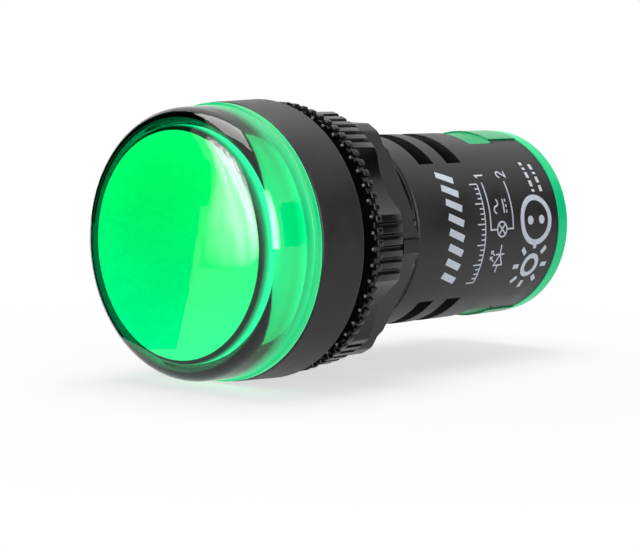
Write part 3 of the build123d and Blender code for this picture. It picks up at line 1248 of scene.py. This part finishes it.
@dataclass
class LockNut:
    """Nut with a toothed flange, ribbed lobes with finger scoops, and a hexagon behind."""

    bore: float = 10.9
    bore_edge: float = 0.4
    turn: float = -2.2
    front: float = 2.2
    flange_rear: float = 3.1
    rib_rear: float = 6.9
    rear: float = 10.0
    flange_radius: float = 14.45
    tooth_root: float = 14.05
    tooth_width: float = 0.72
    tooth_bury: float = 0.3
    tooth_round: float = 0.13
    rib_radius: float = 14.1
    rib_ends: tuple[Point, ...] = ((0.0, 0.45), (0.1, 0.25), (0.3, 0.08), (0.5, 0.0))
    rib_foot: float = 0.12
    pitch: float = 5.0
    groove_width: float = 0.62
    groove_depth: float = 0.4
    grooves_to_side: int = 2
    side_angle: float = 60.0
    scoop_radius: float = 8.0
    scoop_floor: float = 12.58
    apothem: float = 12.4
    corner: float = 13.9
    bevel: float = 0.5
    bevel_fade: float = 0.15
    edge: float = 0.1
    step: float = 0.02
    sharp: float = 28.0
    pip_count: int = 52
    pip_circle: float = 13.8
    pip_radii: Point = (0.24, 0.12)
    pip_height: float = 0.15
    pip_sides: int = 8
    pip_sharp: float = 80.0
    columns: int = 1440

    def from_lobe(self, angle: float) -> float:
        """Angle from the middle of the nearest lobe."""
        return (angle - self.turn + self.side_angle / 2) % self.side_angle - self.side_angle / 2

    def lobe(self, angle: float, inset: float = 0.0) -> float:
        """Radius of the lobes' outline.

        Args:
            angle: Angle about the axis, in degrees.
            inset: How far the ribs stand back, for their rear ends.

        Returns:
            The radius.
        """
        away = self.from_lobe(angle)
        radius = self.rib_radius - inset
        nearest = round(away / self.pitch)
        if abs(nearest) <= self.grooves_to_side:
            gap = abs(away - nearest * self.pitch) * pi / 180 * self.rib_radius
            half = self.groove_width / 2
            if gap < half:
                depth = self.groove_depth * (1 - (gap / half) ** 3)
                radius = min(radius, self.rib_radius - depth)
        centre = self.scoop_floor + self.scoop_radius
        side = radians(abs(away) - self.side_angle / 2)
        reach = centre * sin(side)
        if abs(reach) < self.scoop_radius:
            scoop = centre * cos(side) - sqrt(self.scoop_radius ** 2 - reach ** 2)
            radius = min(radius, scoop)
        return radius

    def hexagon(self, angle: float, corner: float) -> float:
        """Radius of the hexagon's outline, with its corners turned down to a radius."""
        away = (angle - self.turn) % self.side_angle - self.side_angle / 2
        return min(self.apothem / cos(radians(away)), corner)

    def core(self) -> bpy.types.Object:
        """Make the nut's body from rings of one outline after another.

        Returns:
            The body.
        """
        edge, root = self.edge, self.tooth_root
        bite = self.bore + self.bore_edge
        low = self.corner - 2 * self.bevel
        shoulder = self.rear - self.bevel
        deepest = self.rib_ends[-1][0]
        sections: list[tuple[Outline, float]] = [
            (self.bore, self.front + self.bore_edge), (bite, self.front),
            (root - edge, self.front), (root, self.front + edge),
            (root, self.flange_rear - edge), (root - edge, self.flange_rear),
            (lambda angle: min(self.lobe(angle), root - self.rib_foot), self.flange_rear),
            (self.lobe, self.flange_rear + self.step)]
        sections += [(partial(self.lobe, inset=inset), self.rib_rear - before)
                     for inset, before in self.rib_ends]
        sections.append((lambda angle: min(self.hexagon(angle, self.corner),
                                           self.lobe(angle, deepest)), self.rib_rear))
        sections += [(partial(self.hexagon, corner=corner), station) for corner, station in (
            (self.corner, self.rib_rear + self.step), (self.corner, shoulder - edge),
            (self.corner - edge, shoulder), (low + self.bevel_fade, self.rear - edge / 2))]
        sections += [
            (lambda angle: min(self.hexagon(angle, low), self.apothem - edge), self.rear),
            (bite, self.rear), (self.bore, self.rear - self.bore_edge)]
        piece = Piece("lock_nut_body")
        rings = [piece.ring(self.columns, outline, station, self.turn)
                 for outline, station in sections]
        for before, after in zip(rings, rings[1:]):
            piece.skin(before, after)
        piece.skin(rings[-1], rings[0])
        return piece.finish(NUT_BLACK, self.sharp)

    def teeth(self) -> bpy.types.Object:
        """Make the flange's teeth, one small rounded bar repeated round it.

        Returns:
            The teeth.
        """
        piece = Piece("lock_nut_teeth")
        middle = (self.front + self.flange_rear) / 2
        size = Vector((self.flange_radius - self.tooth_root + self.tooth_bury,
                       self.flange_rear - self.front, self.tooth_width))
        place = Vector((self.flange_radius - size.x / 2, middle, 0)) * MM
        base = Matrix.Translation(place) @ Matrix.Diagonal((*(size * MM), 1))
        bmesh.ops.create_cube(piece.mesh, size=1.0, matrix=base)
        made = piece.finish(NUT_BLACK)
        soften(made, self.tooth_round)
        RingTree().apply(made, NUT_BLACK, {
            "Count": int(360 / self.pitch), "First Turn": radians(self.turn + self.pitch / 2),
            "Step Turn": radians(self.pitch)})
        return made

    def pips(self) -> bpy.types.Object:
        """Make the small cones on the flange's front that bite the panel.

        Returns:
            The cones.
        """
        piece = Piece("lock_nut_pips")
        place = Vector((self.pip_circle, self.front, 0)) * MM
        place += Vector((0, -self.pip_height / 2 * MM, 0))
        base = Matrix.Translation(place) @ Matrix.Rotation(pi / 2, 4, "X")
        foot, tip = self.pip_radii
        bmesh.ops.create_cone(
            piece.mesh, cap_ends=True, segments=self.pip_sides, radius1=foot * MM,
            radius2=tip * MM, depth=self.pip_height * MM, matrix=base)
        made = piece.finish(PIP_PAINTED_GLINT, self.pip_sharp)
        RingTree().apply(made, PIP_PAINTED_GLINT, {
            "Count": self.pip_count, "First Turn": radians(self.turn),
            "Step Turn": 2 * pi / self.pip_count})
        return made

    def build(self) -> None:
        """Make and dress the pieces."""
        dress(self.core(), Body.NUT, Slot.NUT, "lock_nut")
        dress(self.teeth(), Body.NUT, Slot.NUT)
        dress(self.pips(), Body.NUT, Slot.NUT)


@dataclass
class Rear:
    """Terminal base with its plates, clamps and screws, and the parts inside the shell."""

    base_edge: float = 0.12
    plate_edge: float = 0.08
    clamp_edge: float = 0.1
    screw_edge: float = 0.06
    led_count: int = 6
    tongue_inner: float = 8.2
    tongue_outer: float = 9.9
    tongue_front: float = 28.2
    tongue_step: float = 33.25
    tongue_rear: float = 38.45
    tongue_half_angle: float = 29.9
    tongue_nose: float = 9.8
    narrower: float = 0.9
    shorter: float = 0.78

    def tongue(self, place: Vector) -> Vector:
        """Narrow the snap tongues and slope their heads down to the front.

        Args:
            place: A vertex of the base, in metres.

        Returns:
            Its new place, which is the old one outside the tongues.
        """
        radius, station = hypot(place.x, place.z) / MM, place.y / MM
        top = 90.0 if place.z > 0 else -90.0
        away = degrees(atan2(place.z, place.x)) - top
        beside = radius < self.tongue_inner or abs(away) > self.tongue_half_angle
        if beside or station > self.tongue_rear:
            return place
        if station < self.tongue_step:
            reach = (self.tongue_step - station) / (self.tongue_step - self.tongue_front)
            if radius > self.tongue_outer:
                radius += (self.tongue_nose - radius) * reach
            station = self.tongue_step - (self.tongue_step - station) * self.shorter
        return spot(radius, top + away * self.narrower, station)

    def build(self) -> None:
        """Dress the base, the terminals and the inner parts."""
        softened_node("terminal_base", Body.LAMP, BASE_GREEN, self.base_edge, self.tongue)
        movers = ((Body.CLAMP_1, Body.SCREW_1), (Body.CLAMP_2, Body.SCREW_2))
        for number, (clamp, screw) in enumerate(movers, 1):
            softened_node(f"terminal_plate_{number}", Body.LAMP, BRASS, self.plate_edge)
            softened_node(f"wire_clamp_{number}", clamp, STEEL, self.clamp_edge)
            softened_node(f"terminal_screw_{number}", screw, STEEL, self.screw_edge)
            paint_node(f"link_pin_{number}", PIN_METAL)
            paint_node(f"resistor_{number}", RESISTOR_COAT)
        for number in range(1, self.led_count + 1):
            paint_node(f"led_{number}", LED_RESIN)
        for node, finish in (("led_board", BOARD_LAMINATE), ("driver_board", BOARD_LAMINATE),
                             ("bridge_rectifier", COMPONENT_BLACK),
                             ("capacitor", CAPACITOR_SLEEVE)):
            paint_node(node, finish)


@dataclass
class Print:
    """Pale marks on the shell, in rows that run up round it.

    A mark is drawn flat: across is the distance round the shell from the side that faces the
    camera, and station is the place along the lamp.
    """

    shell_radius: float = 10.7
    ink: float = 0.03
    chord: float = 0.4
    fine: float = 0.15
    medium: float = 0.18
    bold: float = 0.8
    mitre: float = 0.5
    arc_chord: float = 0.25
    dash_stations: Point = (34.5, 36.0)

    def across(self, angle: float) -> float:
        """Distance round the shell at an angle in degrees."""
        return radians(angle) * self.shell_radius

    def stroke(self, piece: Piece, width: float, line: Sequence[Point]) -> None:
        """Draw a flat stroke along a line.

        Args:
            piece: The piece to add to.
            width: The stroke's width.
            line: (across, station) points. A line whose ends meet is closed.
        """
        closed = hypot(line[0][0] - line[-1][0], line[0][1] - line[-1][1]) < 1e-6
        path = [Vector(line[0])]
        for point in line[1:]:
            start = path[-1]
            leg = Vector(point) - start
            parts = max(1, ceil(leg.length / self.chord))
            path += [start + leg * part / parts for part in range(1, parts + 1)]
        if closed:
            path.pop()
        count = len(path)
        rows = []
        for place, point in enumerate(path):
            before = path[place - 1] if place or closed else point
            after = path[(place + 1) % count] if place < count - 1 or closed else point
            ahead, behind = (after - point).normalized(), (point - before).normalized()
            along = (ahead + behind).normalized()
            leg = ahead if ahead.length else behind
            side = Vector((-along.y, along.x))
            reach = width / 2 / max(self.mitre, side.dot(Vector((-leg.y, leg.x))))
            rows.append([
                piece.mesh.verts.new(Vector((*(point + side * reach * out), height)) * MM)
                for out, height in ((-1, 0), (1, 0), (1, self.ink), (-1, self.ink))])
        for place in range(count if closed else count - 1):
            piece.skin(rows[place], rows[(place + 1) % count])
        if not closed:
            piece.mesh.faces.new(rows[0])
            piece.mesh.faces.new(rows[-1])

    def strokes(self, piece: Piece, width: float, *lines: Sequence[Point]) -> None:
        """Draw a flat stroke along each line."""
        for line in lines:
            self.stroke(piece, width, line)

    def arc(self, across: float, station: float, radius: float, start: float = 0.0,
            end: float = 360.0) -> list[Point]:
        """Points of an arc.

        Args:
            across: Its centre's distance round the shell.
            station: Its centre's station.
            radius: Its radius.
            start: Angle at which it starts, in degrees.
            end: Angle at which it ends, in degrees.

        Returns:
            The points in order.
        """
        whole = max(16, 2 * pi * radius / self.arc_chord)
        steps = max(4, ceil(abs(end - start) / 360 * whole))
        turns = [radians(start + (end - start) * step / steps) for step in range(steps + 1)]
        return [(across + radius * cos(turn), station + radius * sin(turn)) for turn in turns]

    def stripes(self, piece: Piece) -> None:
        """Draw a band of bold slanted stripes.

        Args:
            piece: The print.
        """
        count, front, rear, slant = 8, 18.4, 20.9, 0.9
        first, last = self.across(-30), self.across(32)
        for place in range(count):
            foot = first + (last - first) * place / (count - 1)
            self.stroke(piece, self.bold, [(foot, rear), (foot + slant, front)])

    def scale(self, piece: Piece) -> None:
        """Draw a fine scale with long and short ticks.

        Args:
            piece: The print.
        """
        count, every, foot, long, short = 20, 4, 24.7, 1.35, 0.7
        first, last = self.across(-33), self.across(29)
        self.stroke(piece, self.fine, [(first, foot), (last, foot)])
        for place in range(count + 1):
            tick = short if place % every else long
            across = first + (last - first) * place / count
            self.stroke(piece, self.fine, [(across, foot), (across, foot - tick)])

    def diode_sign(self, piece: Piece) -> None:
        """Draw the symbol of a light-emitting diode.

        Args:
            piece: The print.
        """
        station, width, half = 27.8, 0.17, 0.75
        low, high = station - half, station + half
        tail, foot, tip, nose = (self.across(angle) for angle in (-27, -22, -15, -9))
        self.strokes(
            piece, width, [(tail, station), (foot, station)],
            [(foot, low), (foot, high), (tip, station), (foot, low)],
            [(tip, low), (tip, high)], [(tip, station), (nose, station)])
        for step in (0.0, 0.7):
            start = foot + 0.5 + step
            across, up = start + 0.55, station - 1.65
            self.strokes(
                piece, self.fine, [(start, station - 0.95), (across, up)],
                [(across - 0.35, up + 0.05), (across, up), (across - 0.02, up + 0.38)])

    def lamp_sign(self, piece: Piece) -> None:
        """Draw the lamp symbol with its two leads, their numbers and the signs of both supplies.

        Args:
            piece: The print.
        """
        across, station, radius, lead, lead_end, number = 0.08, 27.7, 0.85, 2.05, 5.6, 6.5
        self.stroke(piece, self.medium, self.arc(across, station, radius))
        reach = radius * sqrt(0.5)
        for side in (-1, 1):
            out, tilt = station + side * lead, side * reach
            self.strokes(
                piece, self.medium,
                [(across - reach, station - tilt), (across + reach, station + tilt)],
                [(across, station + side * radius), (across, out), (lead_end, out)])
        one = [(number - 0.3, 25.3), (number, 25.0), (number, 26.4)]
        two = [*self.arc(number, 29.3, 0.36, 180, 400), (number - 0.36, 30.4), (number + 0.4, 30.4)]
        wave = [*self.arc(2.3, 26.95, 0.4, 180, 360), *self.arc(3.1, 26.95, 0.4, 180, 0)][:-1]
        line = [(1.9, 28.3), (3.5, 28.3)]
        dashes = [[(start, 28.75), (start + 0.34, 28.75)] for start in (1.9, 2.53, 3.16)]
        self.strokes(piece, self.medium, one, two, wave, line, *dashes)

    def marks(self, piece: Piece) -> None:
        """Draw a light sign and a sign for two terminals.

        Args:
            piece: The print.
        """
        station, light, terminals = 34.1, self.across(-24.5), self.across(4.5)
        bulb, bulb_width = 1.2, 0.6
        rays, ray_reach, ray_width = 8, (2.1, 3.1), 0.55
        ring, ring_width = 2.6, 0.65
        dot, dot_width, dot_shift = 0.26, 0.5, 1.05
        self.stroke(piece, bulb_width, self.arc(light, station, bulb))
        for step in range(rays):
            turn = 2 * pi * step / rays
            self.stroke(piece, ray_width, [
                (light + reach * cos(turn), station + reach * sin(turn)) for reach in ray_reach])
        self.stroke(piece, ring_width, self.arc(terminals, station, ring))
        for side in (-1, 1):
            self.stroke(piece, dot_width, self.arc(terminals, station + side * dot_shift, dot))

    def dashes(self, piece: Piece, station: float, first: int) -> None:
        """Draw a row of fine dashes of two lengths.

        Args:
            piece: The print.
            station: The row's station.
            first: Number of the row's first dash in the pattern.
        """
        long, short, gap, width, every = 0.75, 0.3, 0.35, 0.5, 3
        place, end, step = self.across(22), self.across(43), first
        while place < end:
            length = long if step % every else short
            self.stroke(piece, width, [(place, station), (min(place + length, end), station)])
            place += length + gap
            step += 1

    def build(self) -> None:
        """Make and dress the print."""
        piece = Piece("shell_print")
        for draw in (self.stripes, self.scale, self.diode_sign, self.lamp_sign, self.marks):
            draw(piece)
        for first, station in enumerate(self.dash_stations):
            self.dashes(piece, station, first)
        made = piece.finish(PRINT_INK)
        WrapTree().apply(made, PRINT_INK, {"Shell Radius": self.shell_radius * MM})
        dress(made, Body.LAMP, Slot.MOULDING)


def heading(turn: float, tilt: float = 0.0) -> Vector:
    """Unit vector at an azimuth and an elevation in degrees, with azimuth 0 before the lens."""
    turn, tilt = radians(turn), radians(tilt)
    return Vector((sin(turn) * cos(tilt), -cos(turn) * cos(tilt), sin(tilt)))


@dataclass(frozen=True)
class Card:
    """A soft-edged glowing card that only reflections see. One without strength is a dark flag.

    Its sides' azimuths and its foot's and top's elevations are in degrees, as seen from the lens.
    Its top left corner may be turned in.
    """

    name: str
    turns: Point
    tilts: Point
    reach: float
    strength: float = 0.0
    turned_in: float = 0.0
    softness: float = 0.6
    streak_scale: float = 9.0
    streak_stretch: Corner = (1.0, 0.35, 1.0)
    streak_range: Point = (0.4, 0.62)
    streak_shade: float = 0.45

    def material(self) -> bpy.types.Material:
        """Make its glow, which falls off to the edges and is streaked.

        Returns:
            The material.
        """
        shader = Shader(self.name)
        place = shader.value("ShaderNodeTexCoord", output="UV")
        parts = shader.node("ShaderNodeSeparateXYZ", inputs={0: place})
        across, up = (Value(shader, parts.outputs[axis]) for axis in ("X", "Y"))
        fall = (4 * across * (1 - across) * 4 * up * (1 - up)).math("POWER", self.softness)
        streaks = shader.value("ShaderNodeTexNoise", inputs={
            "Vector": shader.value("ShaderNodeMapping", inputs={
                "Vector": place, "Scale": self.streak_stretch}),
            "Scale": self.streak_scale, "Detail": 2.0})
        fall = fall * streaks.ramp(*self.streak_range, self.streak_shade, 1.0)
        colour = shader.value("ShaderNodeCombineColor", inputs=dict.fromkeys(range(3), fall))
        return shader.surface("ShaderNodeEmission", {"Color": colour, "Strength": self.strength})

    def corners(self, centre: Vector) -> list[Vector]:
        """Find its corners.

        Args:
            centre: The place that it faces.

        Returns:
            The corners, from the left one of its foot.
        """
        left, right = self.turns
        foot, top = self.tilts
        spots = ((left, foot), (right, foot), (right, top), (left + self.turned_in, top))
        return [centre + self.reach * heading(turn, tilt) for turn, tilt in spots]


@dataclass
class Studio:
    """Camera, lamp, cards and a white room, as in the photograph."""

    azimuth: float = 42.7
    elevation: float = 5.23
    roll: float = -0.13
    distance: float = 211.94
    target: Corner = (4.5, 4.24, -3.96)
    focal: float = 112.5
    sensor: float = 36.0
    near_clip: float = 0.01
    lens: Corner = (0.0, -12.0, 0.0)
    room: float = 0.3
    floor_height: float = -14.75
    floor_reach: float = 3000.0
    floor_grey: Colour = (0.96, 0.96, 0.96)
    fade_centre: float = 12.0
    fade_stretch: float = 1.1
    fade_start: float = 15.0
    fade_end: float = 75.0
    near_share: float = 0.66
    backdrop_away: float = 900.0
    backdrop_half: float = 1200.0
    lamp_place: Corner = (-60.0, 60.0, 420.0)
    lamp_aim: Corner = (0.0, 10.0, 0.0)
    lamp_size: float = 300.0
    lamp_power: float = 1.5
    lamp_colour: Colour = (1.0, 0.98, 0.96)
    dark_lift: float = 0.3
    dark_turns: Point = (-95.0, -43.0)
    dark_reaches: Point = (20.0, 2500.0)
    cards: tuple[Card, ...] = (
        Card("front_card", (-42, 8), (-6.5, 40), 130, 29.0, 14.0),
        Card("dark_flag", (-110, -42), (-4, 60), 700),
        Card("dark_flag_right", (112, 162), (-4, 24), 700),
        Card("side_card", (58, 92), (-14, 40), 450, 24.0))

    def camera(self) -> None:
        """Place the camera."""
        back = heading(self.azimuth, self.elevation)
        right = (-back).cross(Vector((0, 0, 1))).normalized()
        up = right.cross(-back)
        lean = radians(self.roll)
        right, up = right * cos(lean) + up * sin(lean), up * cos(lean) - right * sin(lean)
        data = bpy.data.cameras.new("camera")
        data.lens = self.focal
        data.sensor_width = self.sensor
        data.clip_start = self.near_clip
        place = Vector(self.target) * MM + back * self.distance * MM
        facing = Matrix((right, up, back)).transposed().to_4x4()
        made = placed("camera", data)
        made.matrix_world = Matrix.Translation(place) @ facing
        bpy.context.scene.camera = made

    def lamp(self) -> None:
        """Hang a soft square lamp overhead."""
        data = bpy.data.lights.new("overhead", "AREA")
        data.shape = "RECTANGLE"
        data.size = data.size_y = self.lamp_size * MM
        data.energy = self.lamp_power
        data.color = self.lamp_colour
        place = Vector(self.lamp_place)
        facing = (Vector(self.lamp_aim) - place).to_track_quat("-Z", "Y").to_matrix().to_4x4()
        placed("overhead", data).matrix_world = Matrix.Translation(place * MM) @ facing

    def white(self, graph: Graph) -> dict[str, Any]:
        """Colour and strength of a glow that looks plain white and lights the lamp dimly.

        Args:
            graph: The tree of the glow's shader.

        Returns:
            The shader's inputs: a strength of 1 for camera, glossy and transmission rays, and
            the room's for the rest.
        """
        path = graph.node("ShaderNodeLightPath")
        seen = Value(graph, path.outputs["Is Camera Ray"])
        for ray in ("Is Glossy Ray", "Is Transmission Ray"):
            seen = seen.math("MAXIMUM", path.outputs[ray])
        return {"Color": opaque(WHITE), "Strength": seen.ramp(0.0, 1.0, self.room, 1.0)}

    def world(self) -> None:
        """White surroundings to look at, and a dim room for all other rays."""
        world = bpy.data.worlds.new("surroundings")
        world.use_nodes = True
        graph = Graph(world.node_tree)
        graph.tree.nodes.clear()
        back = graph.node("ShaderNodeBackground", inputs=self.white(graph))
        output = graph.node("ShaderNodeOutputWorld")
        graph.feed(output.inputs["Surface"], back.outputs[0])
        bpy.context.scene.world = world

    @staticmethod
    def sheet(name: str, material: bpy.types.Material, corners: Sequence[Vector],
              unseen_by: Sequence[str] = ()) -> None:
        """Add a staged four-cornered sheet with a UV map over it.

        Args:
            name: Its name.
            material: Its material.
            corners: Its corners in millimetres.
            unseen_by: Kinds of ray that pass it by.
        """
        data = bpy.data.meshes.new(name)
        data.from_pydata([corner * MM for corner in corners], [], [(0, 1, 2, 3)])
        layer = data.uv_layers.new(name="UVMap")
        for loop, place in zip(layer.data, ((0, 0), (1, 0), (1, 1), (0, 1))):
            loop.uv = place
        data.materials.append(material)
        made = placed(name, data)
        for ray in unseen_by:
            setattr(made, f"visible_{ray}", False)

    def floor(self) -> None:
        """Lay the white floor under the lamp. It fades to plain white away from the lamp."""
        shader = Shader("floor_white")
        lit = shader.node("ShaderNodeBsdfDiffuse", inputs={"Color": opaque(self.floor_grey)})
        white = shader.node("ShaderNodeEmission", inputs=self.white(shader))
        across, along = shader.axis("X") / self.fade_stretch, shader.axis("Y") - self.fade_centre
        far = (across * across + along * along).math("SQRT")
        far = far.ramp(self.fade_start, self.fade_end, self.near_share, 1.0)
        material = shader.surface("ShaderNodeMixShader", {
            0: far, 1: lit.outputs[0], 2: white.outputs[0]})
        self.sheet("floor", material, [
            Vector((x * self.floor_reach, y * self.floor_reach, self.floor_height))
            for x, y in ((-1, -1), (1, -1), (1, 1), (-1, 1))])

    def backdrop(self) -> None:
        """Hang the white backdrop behind the lamp."""
        shader = Shader("backdrop_white")
        material = shader.surface("ShaderNodeEmission", self.white(shader))
        turn = radians(self.azimuth)
        away = Vector((-sin(turn), cos(turn), 0)) * self.backdrop_away
        side = Vector((cos(turn), sin(turn), 0)) * self.backdrop_half
        low, high = Vector((0, 0, self.floor_height - 1)), Vector((0, 0, self.backdrop_away))
        self.sheet("backdrop", material, [
            away - side + low, away + side + low, away + side + high, away - side + high])

    def dark_sheet(self) -> None:
        """Lay a dark sheet on the floor at the lens's left, which only its reflections see."""
        material = Shader("dark_sheet").surface("ShaderNodeEmission", {"Strength": 0.0})
        left, right = self.dark_turns
        near, far = self.dark_reaches
        corners = []
        for turn, reach in ((left, near), (right, near), (right, far), (left, far)):
            corner = Vector(self.lens) + reach * heading(turn)
            corner.z = self.floor_height + self.dark_lift
            corners.append(corner)
        self.sheet("dark_sheet", material, corners,
                   ("camera", "diffuse", "transmission", "shadow"))

    def build(self) -> None:
        """Set the studio up."""
        bpy.context.scene.view_settings.view_transform = "Standard"
        self.camera()
        self.world()
        self.floor()
        self.backdrop()
        self.lamp()
        for card in self.cards:
            self.sheet(card.name, card.material(), card.corners(Vector(self.lens)),
                       ("camera", "diffuse", "shadow"))
        self.dark_sheet()


def main() -> None:
    """Dress the whole lamp and set up its picture."""
    logging.basicConfig(level=logging.INFO, format="%(name)s: %(message)s")
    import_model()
    for part in (LensUnit(), Housing(), Seal(), LockNut(), Rear(), Print(), Studio()):
        LOG.info("building %s", type(part).__name__)
        part.build()


if __name__ == "__main__":
    main()
